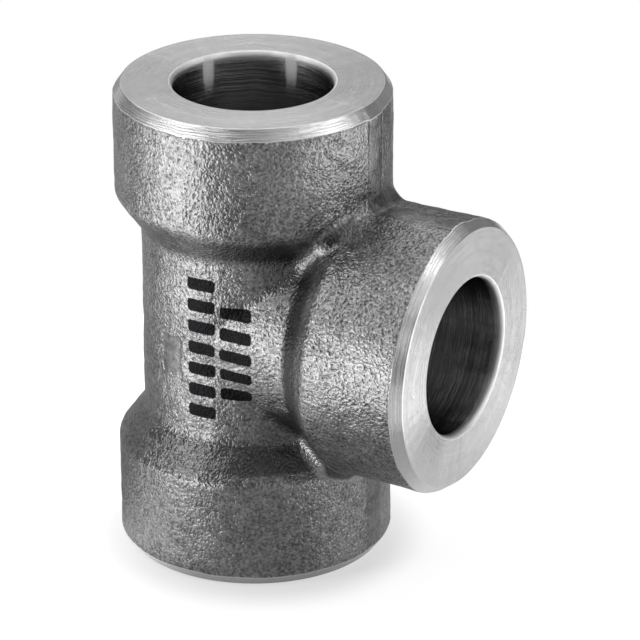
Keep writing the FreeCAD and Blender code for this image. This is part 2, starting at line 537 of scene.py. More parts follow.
    def arm(self, place: ArmPlace) -> tuple[Array, Array, list[Finish]]:
        """One arm, from its skin at the crossing round to its passage at the crossing.

        Args:
            place: the arm's place.

        Returns:
            Its points by row and column in the model's frame, the distance along its
            outline at each point, and the finish of each row of faces.
        """
        turn = self.turns()
        skin, edge_radius, edge = self.skin(place)
        outline, finishes = self.turned_end(place, edge_radius, edge)
        circle = np.stack([np.cos(turn), np.sin(turn)], axis=-1)
        turned = np.concatenate([outline[..., :1] * circle, outline[..., 1:]], axis=-1)
        least = -circle[:, 0] if place.crossed_all_round else 0
        facing = np.maximum(circle[:, 0], least)
        passage_foot = self.sizes.flow_radius * np.column_stack([circle, facing])
        share = np.linspace(0, 1, self.passage_rows + 1)[1:, None, None]
        passage = turned[-1] + (passage_foot - turned[-1]) * share
        points = np.concatenate([skin, turned, passage])
        step = np.linalg.norm(np.diff(points, axis=0), axis=-1)
        feed = np.vstack([np.zeros(self.columns), np.cumsum(step, axis=0)])
        feed -= feed[len(skin) - 1]
        bands = [Finish.FORGED_SKIN] * (len(skin) - 1) + finishes
        bands += [Finish.SOCKET_BORE] * self.passage_rows
        placed = points @ place.basis + np.array([0, 0, self.sizes.crossing_height])
        return placed, feed, bands

    def shared_rows(self, rows: int) -> Array:
        """Gives points that arms share at the crossing the same number.

        The branch's upper half meets the upper arm, and its lower half the lower arm,
        in reverse. Behind the branch the upper and lower arms meet each other.

        Args:
            rows: the number of rows of each arm.

        Returns:
            A point number for each arm, row and column.
        """
        upper, lower, branch = np.arange(3 * rows * self.columns).reshape(3, rows, self.columns)
        half = self.columns // 2
        for row in (0, rows - 1):
            lower[row, half:] = upper[row, half:]
            lower[row, 0] = upper[row, 0]
            branch[row, : half + 1] = upper[row, : half + 1]
            branch[row, half:] = lower[row, half:0:-1]
        return np.stack([upper, lower, branch])

    def build(self, name: str) -> Object:
        """Makes the closed mesh, with a finish for each face and a feed for each point.

        Args:
            name: the object's name.

        Returns:
            The object, at the origin.
        """
        places = self.places()
        arms = [self.arm(place) for place in places]
        rows = len(arms[0][0])
        numbers = self.shared_rows(rows)
        used, numbers = np.unique(numbers, return_inverse=True)
        numbers = numbers.reshape(3, rows, self.columns)
        points = np.concatenate([points.reshape(-1, 3) for points, _, _ in arms])[used]
        feed = np.concatenate([feed.reshape(-1) for _, feed, _ in arms])[used]
        grids = zip(numbers, places)
        faces = np.concatenate([self.quads(grid, place.mirrored) for grid, place in grids])
        finish = np.concatenate([np.repeat(bands, self.columns) for _, _, bands in arms])
        return self.to_object(name, self.evened(points, faces, finish), faces, finish, feed)

    def evened(self, points: Array, faces: Array, finish: Array) -> Array:
        """Evens out the skin in the bottom of the valleys, where the columns run steeply.

        Args:
            points: the mesh's points.
            faces: four point numbers for each face.
            finish: the finish of each face.

        Returns:
            The points, those in the valleys moved towards the middle of their neighbours.
        """
        out, up = points[:, 0], np.abs(points[:, 2] - self.sizes.crossing_height)
        weight = np.interp(np.abs(out - up), self.eased_side, (self.eased, 0.0))
        weight *= np.interp(out, self.eased_start, (0.0, 1.0))
        weight[np.unique(faces[finish != Finish.FORGED_SKIN])] = 0.0
        here = np.concatenate([faces[:, corner] for corner in range(4)])
        beside = np.concatenate([faces[:, (corner + 1) % 4] for corner in range(4)])
        moved = weight[here] > 0
        here, beside = here[moved], beside[moved]
        count = np.maximum(np.bincount(here, minlength=len(points)), 1)
        for _ in range(self.easing_steps):
            sums = [np.bincount(here, points[beside, axis], len(points)) for axis in range(3)]
            middle = np.stack(sums, axis=-1) / count[:, None]
            points = points + weight[:, None] * (middle - points)
        return points

    @staticmethod
    def quads(grid: Array, mirrored: bool) -> Array:
        """The faces of a grid whose columns close on themselves, facing outwards.

        Args:
            grid: a point number for each row and column.
            mirrored: whether the grid's own directions are left-handed.

        Returns:
            Four point numbers for each face.
        """
        beside = np.roll(grid, -1, axis=1)
        corners = np.stack([grid[:-1], beside[:-1], beside[1:], grid[1:]], axis=-1).reshape(-1, 4)
        return corners[:, ::-1] if mirrored else corners

    @staticmethod
    def to_object(name: str, points: Array, faces: Array, finish: Array, feed: Array) -> Object:
        """Puts arrays of points and four-sided faces into a mesh object.

        Args:
            name: the object's name.
            points: the points.
            faces: four point numbers for each face.
            finish: the material slot of each face.
            feed: the value of the "feed" attribute at each point.

        Returns:
            The object, linked to the scene.
        """
        mesh = bpy.data.meshes.new(name)
        mesh.vertices.add(len(points))
        mesh.vertices.foreach_set("co", points.astype(np.float32).ravel())
        mesh.loops.add(faces.size)
        mesh.loops.foreach_set("vertex_index", faces.astype(np.int32).ravel())
        mesh.polygons.add(len(faces))
        mesh.polygons.foreach_set("loop_start", np.arange(0, faces.size, 4, dtype=np.int32))
        mesh.polygons.foreach_set("material_index", finish.astype(np.int32))
        mesh.polygons.foreach_set("use_smooth", np.ones(len(faces), dtype=bool))
        attribute = mesh.attributes.new("feed", "FLOAT", "POINT")
        attribute.data.foreach_set("value", feed.astype(np.float32))
        mesh.update(calc_edges=True)
        mesh.validate()
        return new_object(name, mesh)


Number = Union[float, "Field"]
Grey = tuple[float, float, float, float]
Colour = Union[Grey, "Field"]
Inputs = Mapping[Union[str, int], Any]


def opaque(level: float) -> Grey:
    """A grey of this level, as a colour."""
    return (level, level, level, 1.0)


class Field:
    """A number that varies over a surface, as a node's output used in arithmetic."""

    def __init__(self, shading: "Shading", socket: NodeSocket) -> None:
        """Wraps a socket of a shading's tree."""
        self.shading, self.socket = shading, socket

    def maths(self, operation: str, *values: Number) -> "Field":
        """A Math node of these values."""
        settings = {"operation": operation}
        return self.shading.field("Math", settings, dict(enumerate(values)))

    def __add__(self, other: Number) -> "Field":
        """The sum."""
        return self.maths("ADD", self, other)

    def __sub__(self, other: Number) -> "Field":
        """The difference."""
        return self.maths("SUBTRACT", self, other)

    def __mul__(self, other: Number) -> "Field":
        """The product."""
        return self.maths("MULTIPLY", self, other)

    def __truediv__(self, other: Number) -> "Field":
        """The quotient."""
        return self.maths("DIVIDE", self, other)

    def __radd__(self, other: Number) -> "Field":
        """The sum, with the field second."""
        return self.maths("ADD", other, self)

    def __rsub__(self, other: Number) -> "Field":
        """The difference, with the field second."""
        return self.maths("SUBTRACT", other, self)

    def __rmul__(self, other: Number) -> "Field":
        """The product, with the field second."""
        return self.maths("MULTIPLY", other, self)

    def __abs__(self) -> "Field":
        """The size without its sign."""
        return self.maths("ABSOLUTE", self)

    def least(self, other: Number) -> "Field":
        """The smaller of two."""
        return self.maths("MINIMUM", self, other)

    def most(self, other: Number) -> "Field":
        """The larger of two."""
        return self.maths("MAXIMUM", self, other)

    def above(self, limit: float) -> "Field":
        """1 where the number is over the limit, and 0 elsewhere."""
        return self.maths("GREATER_THAN", self, limit)

    def below(self, limit: float) -> "Field":
        """1 where the number is under the limit, and 0 elsewhere."""
        return self.maths("LESS_THAN", self, limit)

    def hypot(self, other: "Field") -> "Field":
        """The length of a vector with these two parts."""
        return self.maths("POWER", self * self + other * other, 0.5)

    def swing(self, amount: float) -> "Field":
        """How far the number is from a half, times an amount."""
        return (self - 0.5) * amount

    def rises(self, low: float, high: float) -> "Field":
        """A smooth step: 0 up to low, 1 from high.

        Args:
            low: the number at which it starts.
            high: the number at which it ends.

        Returns:
            The step.
        """
        values = {"Value": self, "From Min": low, "From Max": high}
        smooth = {"interpolation_type": "SMOOTHSTEP"}
        return self.shading.field("MapRange", smooth, values)

    def falls(self, low: float, high: float) -> "Field":
        """A smooth step down: 1 up to low, 0 from high."""
        return 1 - self.rises(low, high)


class Shading:
    """The nodes of one material or world."""

    def __init__(self, tree: NodeTree) -> None:
        """Starts from an empty tree."""
        self.tree = tree
        tree.nodes.clear()

    def add(
        self, kind: str, settings: Mapping[str, Any] | None = None, values: Inputs | None = None
    ) -> Node:
        """Adds a node, the only way in which one is made.

        Args:
            kind: the node's type, without the words ShaderNode before it.
            settings: its own settings, set first.
            values: numbers, colours or links for its input sockets.

        Returns:
            The node.
        """
        made = self.tree.nodes.new("ShaderNode" + kind)
        for name, value in (settings or {}).items():
            if name == "stops":
                self.set_stops(made.color_ramp, value)
            else:
                setattr(made, name, value)
        for key, value in (values or {}).items():
            socket = made.inputs[key]
            if isinstance(value, Field):
                self.tree.links.new(value.socket, socket)
            else:
                socket.default_value = value
        return made

    def field(self, *how: Any, output: Union[str, int] = 0, **more: Any) -> Field:
        """The output of a new node, which is made as add says."""
        return Field(self, self.add(*how, **more).outputs[output])

    @staticmethod
    def set_stops(ramp: ColorRamp, stops: Sequence[Pair]) -> None:
        """Gives a ramp grey stops that ease from one to the next.

        Args:
            ramp: a new node's ramp.
            stops: the place, from 0 to 1, and the level of each stop, in order.
        """
        ramp.interpolation = "EASE"
        while len(ramp.elements) < len(stops):
            ramp.elements.new(1.0)
        places, levels = zip(*stops)
        for element, place in zip(ramp.elements, places):
            element.position = place
        for element, level in zip(ramp.elements, levels):
            element.color = opaque(level)

    def split(self, vector: Field) -> list[Field]:
        """The three parts of a vector."""
        made = self.add("SeparateXYZ", values={0: vector})
        return [Field(self, output) for output in made.outputs]

    def mixed(self, share: Number, first: Colour, second: Colour) -> Field:
        """A colour between two.

        Args:
            share: how far it lies from the first to the second, from 0 to 1.
            first: one colour.
            second: the other.

        Returns:
            The colour.
        """
        settings = {"data_type": "RGBA", "clamp_factor": True}
        values = {"Factor": share, 6: first, 7: second}
        return self.field("Mix", settings, values, output=2)

    def grey(self, dark: float, light: float, share: Number) -> Field:
        """A grey between two levels."""
        return self.mixed(share, opaque(dark), opaque(light))

    def camera_ray(self) -> Field:
        """1 on a ray that leaves the camera, and 0 on every other."""
        return self.field("LightPath", output="Is Camera Ray")

    def white(self, kind: str, strength: Field) -> Field:
        """White light of this strength, from a node of this type."""
        return self.field(kind, values={"Color": opaque(1.0), "Strength": strength})


def new_material(name: str) -> Material:
    """A material that is made of nodes.

    Args:
        name: its name.

    Returns:
        The material.
    """
    material = bpy.data.materials.new(name)
    material.use_nodes = True
    return material


@dataclass(frozen=True)
class Pattern:
    """A noise on a metal: the size of its features, and what it changes there."""

    size: float
    detail: float = 2.0
    depth: float = 0.0
    tone: float = 0.0
    roughness: float = 0.0


class Metal(Shading):
    """The nodes of one of the tee's materials, and the fields that its patterns read.

    They are the Object coordinates, whole and in three parts, how far a point lies over
    or under the crossing of the axes, 1 if it lies under it, and how far it lies inwards
    from the edge of its arm's chamfer, along the outline.
    """

    def __init__(self, name: str, sizes: FittingSizes) -> None:
        """Starts a material.

        Args:
            name: the material's name.
            sizes: the tee's sizes.
        """
        self.material = new_material(name)
        super().__init__(self.material.node_tree)
        self.place = self.field("TexCoord", output="Object")
        self.x, self.y, self.z = self.split(self.place)
        self.up = abs(self.z - sizes.crossing_height)
        self.lower = self.z.below(sizes.crossing_height)
        self.feed = self.field("Attribute", {"attribute_name": "feed"}, output="Fac")

    def turn(self) -> Field:
        """The angle round the run, from the branch."""
        return self.x.maths("ARCTAN2", self.y, self.x)

    def halves(self, upper: float, lower: float) -> Field:
        """One number on the tee's upper half, and another on its lower half."""
        return self.lower * (lower - upper) + upper

    def noise(self, kind: str, socket: str, place: Field, pattern: Pattern) -> Field:
        """Noise in one or three dimensions, from 0 to 1."""
        values = {socket: place, "Scale": 1 / pattern.size, "Detail": pattern.detail}
        return self.field("TexNoise", {"noise_dimensions": kind}, values)

    def mottle(self, pattern: Pattern) -> Field:
        """Noise over the surface, from 0 to 1."""
        return self.noise("3D", "Vector", self.place, pattern)

    def rings(self, pattern: Pattern) -> Field:
        """Noise along the outline, from 0 to 1, which runs round an arm in rings."""
        return self.noise("1D", "W", self.feed, pattern)

    def finish(
        self, colour: Field, roughness: Field, height: Field, distance: float = 1.0
    ) -> Material:
        """Ends the material in bare metal with a bumpy skin.

        Args:
            colour: the metal's colour.
            roughness: its roughness.
            height: the height of its skin, as a share of the distance.
            distance: the distance, in metres.

        Returns:
            The material.
        """
        bumps = {"Height": height, "Distance": distance, "Strength": 1.0}
        normal = self.field("Bump", values=bumps)
        look = {"Base Color": colour, "Metallic": 1.0, "Roughness": roughness, "Normal": normal}
        shader = self.field("BsdfPrincipled", values=look)
        self.add("OutputMaterial", values={"Surface": shader})
        return self.material


@dataclass(frozen=True)
class InkMarks:
    """Plain black bars in two lines up the front of the barrel.

    A line is a row of equal bars, each lying across the run and rounded at its ends. It
    is given as its turn round the run in degrees, the heights of its two ends and the
    width of its bars in millimetres, and their number.
    """

    lines: tuple[tuple[float, float, float, float, int], ...] = (
        (-87.3, 22.9, 44.9, 4.15, 7),
        (-69.0, 26.2, 41.2, 4.30, 5),
    )
    fill: float = 0.56
    corner: float = 0.5 * MM
    bleed: float = 0.10 * MM
    ragged_size: float = 0.35 * MM
    ragged: float = 0.22 * MM

    def mask(self, metal: Metal, radius: float) -> Field:
        """Where the ink lies, from 0 to 1.

        Args:
            metal: the nodes of the skin's material.
            radius: the barrel's radius.

        Returns:
            The mask.
        """
        turn, ragged = metal.turn(), metal.mottle(Pattern(self.ragged_size)).swing(self.ragged)
        ink: Number = 0.0
        for angle, low, high, width, count in self.lines:
            pitch = (high - low) * MM / count
            sideways = abs((turn - math.radians(angle)) * radius)
            step = (metal.z - low * MM) / pitch
            upwards = abs(step - step.maths("FLOOR", step) - 0.5) * pitch
            inside = step.above(0.0) * step.below(float(count))
            out_x = (sideways - (width * MM / 2 - self.corner)).most(0.0)
            out_y = (upwards - (pitch * self.fill / 2 - self.corner)).most(0.0)
            away = out_x.hypot(out_y) - self.corner + ragged
            ink = away.falls(-self.bleed / 2, self.bleed) * inside + ink
        return ink * metal.y.below(0.0)


@dataclass(frozen=True)
class RubbedPatch:
    """A patch of the barrel that is rubbed smooth, beside the marks."""

    turn: float = math.radians(-106.6)
    height: float = 31.6 * MM
    half_width: float = 1.5 * MM
    half_height: float = 2.3 * MM
    fade: float = 0.8 * MM
    ragged_size: float = 1.2 * MM

    def mask(self, metal: Metal, radius: float) -> Field:
        """Where the patch lies, from 0 to 1.

        Args:
            metal: the nodes of the skin's material.
            radius: the barrel's radius.

        Returns:
            The mask.
        """
        wander = metal.mottle(Pattern(self.ragged_size)).swing(self.fade)
        sideways = abs((metal.turn() - self.turn) * radius) + wander
        upwards = abs(metal.z - self.height) + wander
        across = sideways.falls(self.half_width, self.half_width + self.fade)
        return across * upwards.falls(self.half_height, self.half_height + self.fade)


@dataclass(frozen=True)
class PaintedHollowShade:
    """Painted shade: a darker grey laid in the roots of the shoulders and the ends of the valleys,
    where the branch and the valleys shade the skin.

    The painted shade is lifted from the floor of each valley, between two roots, less so in the
    upper valley. The two numbers of a pair bound a fade, and so does each half of four.
    """

    run_root: Lengths = mm(12.6, 14.2, 16.6, 18.2)
    branch_root: Lengths = mm(12.9, 14.0, 15.8, 17.3)
    shoulder_top: Lengths = mm(18.0, 18.6)
    towards_branch: Lengths = mm(-1, 9)
    away_from_branch: float = 0.25
    corner: float = 13.0 * MM
    corner_reach: Lengths = mm(3.4, 6.6)
    corner_out: Lengths = mm(14.5, 16.0)
    corner_up: Lengths = mm(16.0, 17.5)
    corner_share: float = 0.7
    valley_floor_side: Lengths = mm(1.1, 2.3)
    valley_floor_start: Lengths = mm(12.6, 13.4)
    valley_shade_lifted: Pair = (0.4, 0.85)
    valley_start: Lengths = mm(16.3, 17.1)
    valley_side: Lengths = mm(0.5, 1.7)
    valley_end: Lengths = mm(5.0, 6.2)

    def valley_floor(self, metal: Metal) -> Field:
        """The floor of a valley, where the painted shade is lifted, from 0 to 1."""
        in_valley = abs(metal.x - metal.up)
        return in_valley.falls(*self.valley_floor_side) * metal.x.rises(*self.valley_floor_start)

    def mask(self, metal: Metal) -> Field:
        """How much painted shade a hollow gets, from 0 to 1.

        Args:
            metal: the nodes of the skin's material.

        Returns:
            The mask.
        """
        # painted shade in the roots of the shoulders and the corners by the valleys, stronger
        # towards the branch
        x, y, up = metal.x, metal.y, metal.up
        run = up.rises(*self.run_root[:2]) * up.falls(*self.run_root[2:])
        run = run * x.hypot(y).falls(*self.shoulder_top)
        away = self.away_from_branch
        run = run * (x.rises(*self.towards_branch) * (1 - away) + away)
        branch = x.rises(*self.branch_root[:2]) * x.falls(*self.branch_root[2:])
        branch = branch * y.hypot(up).falls(*self.shoulder_top)
        from_corner = (x - self.corner).hypot(up - self.corner)
        corner = from_corner.falls(*self.corner_reach) * self.corner_share
        corner = corner * x.falls(*self.corner_out) * up.falls(*self.corner_up)
        valley = abs(x - up).falls(*self.valley_side) * x.rises(*self.valley_start)
        valley = valley * abs(y).rises(*self.valley_end)
        shade_kept = 1 - self.valley_floor(metal) * metal.halves(*self.valley_shade_lifted)
        return (run.most(branch).most(corner) * shade_kept).most(valley)


@dataclass(frozen=True)
class ForgedSkin:
    """Shot-blasted forged steel: mid-grey, grainy all over, smoother on the flash.

    A look is what an area adds to the share of light grey, and the share of the grain's depth that
    it takes away. The band at the cut edge is painted paler as its highlight. The valley floors are
    smoother, with painted shade above the branch and a painted highlight below it, and the hollows
    get painted shade.
    """

    name: str = "forged_skin"
    dark: float = 0.12
    light: float = 0.40
    roughness: float = 0.34
    # the level and share of the painted shade in the hollows
    painted_shade_level: float = 0.05
    painted_shade_share: Pair = (0.55, 0.4)
    ink_colour: Grey = (0.012, 0.012, 0.013, 1.0)
    grain: Pattern = Pattern(0.40 * MM, 1.5, 0.16 * MM, 2.0)
    coarse: Pattern = Pattern(1.3 * MM, 2.0, 0.13 * MM, 0.9, 0.25)
    broad: Pattern = Pattern(7 * MM, tone=0.7)
    pits: Pattern = Pattern(0.62 * MM, depth=-0.05 * MM, tone=-0.5)
    pit_reach: float = 0.30
    flash_look: Pair = (-0.25, 0.6)
    rubbed_look: Pair = (-0.30, 0.75)
    # cut_look: a burr along the skin's cut edge, smoother, and painted paler as its highlight
    cut_look: Pair = (1.6, 0.8)
    cut_ragged: float = 1.2 * MM
    cut_fade: float = 0.18 * MM
    # valley floors: painted shade above the branch, painted highlight below it
    valley_painted_light_and_shade: Pair = (-0.15, 0.55)
    valley_floor_smoothing: float = 0.2
    ink_roughness: float = 0.1
    ink: InkMarks = InkMarks()
    rubbed: RubbedPatch = RubbedPatch()
    hollow_shade: PaintedHollowShade = PaintedHollowShade()

    def build(self, sizes: FittingSizes, arm: ArmOutline, relief: Relief) -> Material:
        """Makes the material.

        Args:
            sizes: the tee's sizes.
            arm: the outline of its arms.
            relief: what the die leaves on them.

        Returns:
            The material.
        """
        metal = Metal(self.name, sizes)
        grain, coarse = metal.mottle(self.grain), metal.mottle(self.coarse)
        cells = {"Vector": metal.place, "Scale": 1 / self.pits.size, "Randomness": 1.0}
        pits = metal.field("TexVoronoi", {"voronoi_dimensions": "3D"}, cells)
        pits = pits.falls(0.0, self.pit_reach)
        trimmed, valley_floor = relief.flash_half_width, self.hollow_shade.valley_floor(metal)
        areas = [
            (self.flash_look, abs(metal.y).falls(trimmed, trimmed + relief.flash_edge)),
            (self.rubbed_look, self.rubbed.mask(metal, arm.barrel_radius)),
            # painted highlight along the skin's cut edge, with smoother grain
            (self.cut_look, (metal.feed + grain.swing(self.cut_ragged)).rises(-self.cut_fade, 0.0)),
        ]
        depth = 1 - self.valley_floor_smoothing * valley_floor
        for (_, smoothing), area in areas:
            depth = depth * (1 - smoothing * area)
        tone = (grain.swing(self.grain.tone) + pits * self.pits.tone) * depth + 0.5
        tone = tone + coarse.swing(self.coarse.tone)
        tone = tone + metal.mottle(self.broad).swing(self.broad.tone)
        for (lighter, _), area in areas:
            tone = tone + area * lighter
        height = grain * self.grain.depth + coarse * self.coarse.depth + pits * self.pits.depth
        # painted shade on the upper valley floor, painted highlight on the lower
        bare = metal.grey(self.dark, self.light, tone + valley_floor * metal.halves(*self.valley_painted_light_and_shade))
        # painted shade laid in the hollows
        least, mottle = self.painted_shade_share
        hollow = self.hollow_shade.mask(metal) * (least + coarse * mottle)
        with_painted_shade = metal.mixed(hollow, bare, opaque(self.painted_shade_level))
        ink = self.ink.mask(metal, arm.barrel_radius)
        colour = metal.mixed(ink, with_painted_shade, self.ink_colour)
        roughness = self.roughness + coarse.swing(self.coarse.roughness) + ink * self.ink_roughness
        return metal.finish(colour, roughness, height * depth)


@dataclass(frozen=True)
class TurnedSteel:
    """Satin steel off the lathe: fine rings, a few pits and a broad soft variation.

    The rim is the worn edge where the chamfer starts: a rougher line, painted paler as its
    highlight.
    """

    name: str = "turned_steel"
    dark: float = 0.66
    light: float = 0.82
    roughness: float = 0.06
    rings: Pattern = Pattern(0.03 * MM, 1.0, 0.014 * MM)
    broad_rings: Pattern = Pattern(1.2 * MM, tone=0.2)
    cloud: Pattern = Pattern(4 * MM, tone=0.5, roughness=0.06)
    blotch: Pattern = Pattern(0.9 * MM, depth=0.006 * MM, tone=0.8)
    specks: Pattern = Pattern(0.30 * MM, 1.0, -0.01 * MM, -1.6)
    speck_start: Pair = (0.66, 0.74)
    rim_width: Lengths = mm(0.096, 0.16)
    rim_painted_highlight: float = 0.5
    rim_roughness: float = 0.4

    def build(self, sizes: FittingSizes) -> Material:
        """Makes the material.

        Args:
            sizes: the tee's sizes.

        Returns:
            The material.
        """
        metal = Metal(self.name, sizes)
        cloud, blotch = metal.mottle(self.cloud), metal.mottle(self.blotch)
        specks = metal.mottle(self.specks).rises(*self.speck_start)
        rim = metal.feed.falls(*self.rim_width)
        height = metal.rings(self.rings) * self.rings.depth + specks * self.specks.depth
        height = height + blotch * self.blotch.depth
        tone = 0.5 + metal.rings(self.broad_rings).swing(self.broad_rings.tone)
        tone = tone + cloud.swing(self.cloud.tone) + blotch.swing(self.blotch.tone)
        # painted highlight along the rim
        tone = tone + specks * self.specks.tone + rim * self.rim_painted_highlight
        roughness = self.roughness + cloud.swing(self.cloud.roughness) + rim * self.rim_roughness
        return metal.finish(metal.grey(self.dark, self.light, tone), roughness, height)


@dataclass(frozen=True)
class SocketBore:
    """The bored sockets and passages: dark oiled steel with tool marks round them.

    Two streaks of painted reflection, lighter and rougher, run a little way down from each mouth of
    the run, and each of the three mouths has a band of painted light that fades inwards.
    """

    name: str = "socket_bore"
    dark: float = 0.07
    light: float = 0.95
    roughness: float = 0.12
    tone: float = 0.29
    rings: Pattern = Pattern(0.03 * MM, depth=0.019 * MM)
    breaks: Pattern = Pattern(0.27 * MM, 1.0, tone=0.3)
    cloud: Pattern = Pattern(3 * MM, tone=0.3, roughness=0.1)
    # painted reflections: their turns, reach and depth, and the painted light at the mouths
    painted_reflection_turns: tuple[float, ...] = (math.radians(154.6), math.radians(92.0))
    streak_reach: Lengths = mm(0.45, 1.10)
    streak_depth: Lengths = mm(1.0, 6.6)
    streak_breaks: float = 0.6
    skirt_reach: Lengths = mm(0.45, 2.2)
    skirt_share: float = 0.2
    lip_depth: Lengths = mm(0.5, 1.7)
    lip_painted_light: float = 0.65
    bright_roughness: float = 0.5

    def build(self, sizes: FittingSizes) -> Material:
        """Makes the material.

        Args:
            sizes: the tee's sizes.

        Returns:
            The material.
        """
        metal = Metal(self.name, sizes)
        breaks, cloud = metal.rings(self.breaks), metal.mottle(self.cloud)
        run_depth = sizes.run_reach - metal.up
        mouth_depth = run_depth.least(sizes.branch_reach - metal.x)
        painted_reflection: Number = 0.0
        # painted reflections of the softboxes: lighter, rougher streaks at two fixed turns in each
        # run socket
        for turn in self.painted_reflection_turns:
            across = abs(metal.x * math.sin(turn) - metal.y * math.cos(turn))
            ahead = metal.x * math.cos(turn) + metal.y * math.sin(turn)
            skirt = across.falls(*self.skirt_reach) * self.skirt_share
            painted_reflection = (across.falls(*self.streak_reach) + skirt) * ahead.above(0.0) + painted_reflection
        painted_reflection = painted_reflection * (1.0 + breaks * self.streak_breaks) * run_depth.falls(*self.streak_depth)
        # painted light round each mouth, fading inwards
        painted_light = painted_reflection.most(mouth_depth.falls(*self.lip_depth) * self.lip_painted_light)
        tone = self.tone + breaks.swing(self.breaks.tone) + cloud.swing(self.cloud.tone) + painted_light
        roughness = self.roughness + cloud.swing(self.cloud.roughness)
        roughness = roughness + painted_light * self.bright_roughness
        colour = metal.grey(self.dark, self.light, tone)
        return metal.finish(colour, roughness, metal.rings(self.rings), self.rings.depth)


@dataclass(frozen=True)
class CameraPlace:
    """Where the photograph was taken from, as angles round the tee and a distance."""

    azimuth: float = math.radians(29.66)
    elevation: float = math.radians(24.39)
    distance: float = 551.2 * MM
    lens: float = 222.7
    sideways: float = 9.09 * MM
    drop: float = 1.90 * MM
    clip: Pair = (0.01, 20.0)

    def direction(self, turn: float = 0.0, rise: float | None = None) -> Vector:
        """A direction seen from the tee.

        Args:
            turn: its turn from the camera's own, to the right as the camera sees it.
            rise: its angle over the level, or None for the camera's own.

        Returns:
            The direction, of length 1.
        """
        height = self.elevation if rise is None else rise
        angle = self.azimuth + turn
        level = Vector((math.sin(angle), -math.cos(angle), 0.0)) * math.cos(height)
        return level + Vector((0.0, 0.0, math.sin(height)))

    def target(self, crossing_height: float) -> Vector:
        """The point that the camera looks at."""
        right = Vector((math.cos(self.azimuth), math.sin(self.azimuth), 0.0))
        return right * self.sideways + Vector((0.0, 0.0, crossing_height - self.drop))

    def build(self, crossing_height: float) -> Object:
        """Makes the camera and sets it as the scene's own.

        Args:
            crossing_height: the height of the crossing of the axes.

        Returns:
            The camera.
        """
        data = bpy.data.cameras.new("camera")
        data.lens = self.lens
        data.clip_start, data.clip_end = self.clip
        camera = new_object("camera", data)
        target = self.target(crossing_height)
        camera.location = target + self.direction() * self.distance
        camera.rotation_euler = (target - camera.location).to_track_quat("-Z", "Y").to_euler()
        bpy.context.scene.camera = camera
        return camera


@dataclass(frozen=True)
class Softbox:
    """A soft lamp: where it stands, seen from the tee, its size and its brightness."""

    name: str
    turn: float
    rise: float
    distance: float
    width: float
    height: float
    brightness: float

    def build(self, view: CameraPlace, centre: Vector) -> Object:
        """Makes the lamp, facing the tee and unseen by the camera.

        A flat lamp's power is pi times its area times its brightness.

        Args:
            view: the camera's place.
            centre: the crossing of the tee's axes.

        Returns:
            The lamp.
        """
        data = bpy.data.lights.new(self.name, "AREA")
        data.shape = "RECTANGLE"
        data.size, data.size_y = self.width, self.height
        data.energy = self.brightness * math.pi * self.width * self.height
        lamp = new_object(self.name, data)
        outward = view.direction(math.radians(self.turn), math.radians(self.rise))
        lamp.location = centre + outward * self.distance
        lamp.rotation_euler = outward.to_track_quat("Z", "Y").to_euler()
        lamp.visible_camera = False
        return lamp


@dataclass(frozen=True)
class LevelBand:
    """Levels of light all round, at one height of the room or on the table.

    Each stop is a turn from the camera's side, in degrees and positive to the right as
    the camera sees it, and the level there. Between stops the level eases from one to
    the next.
    """

    stops: tuple[Pair, ...]
    top: float = 10.0

    def level(self, shading: Shading, turn_share: Field) -> Field:
        """The level at a turn, given as a share of the full turn that starts behind.

        Args:
            shading: the nodes of the world or the material.
            turn_share: 0 and 1 straight behind the tee, and a half at the camera.

        Returns:
            The level.
        """
        half = DEGREES_ROUND / 2
        behind = (self.stops[0][1] + self.stops[-1][1]) / 2
        marks = [(-half, behind), *self.stops, (half, behind)]
        stops = [((turn + half) / DEGREES_ROUND, level / self.top) for turn, level in marks]
        return shading.field("ValToRGB", {"stops": stops}, {0: turn_share}) * self.top


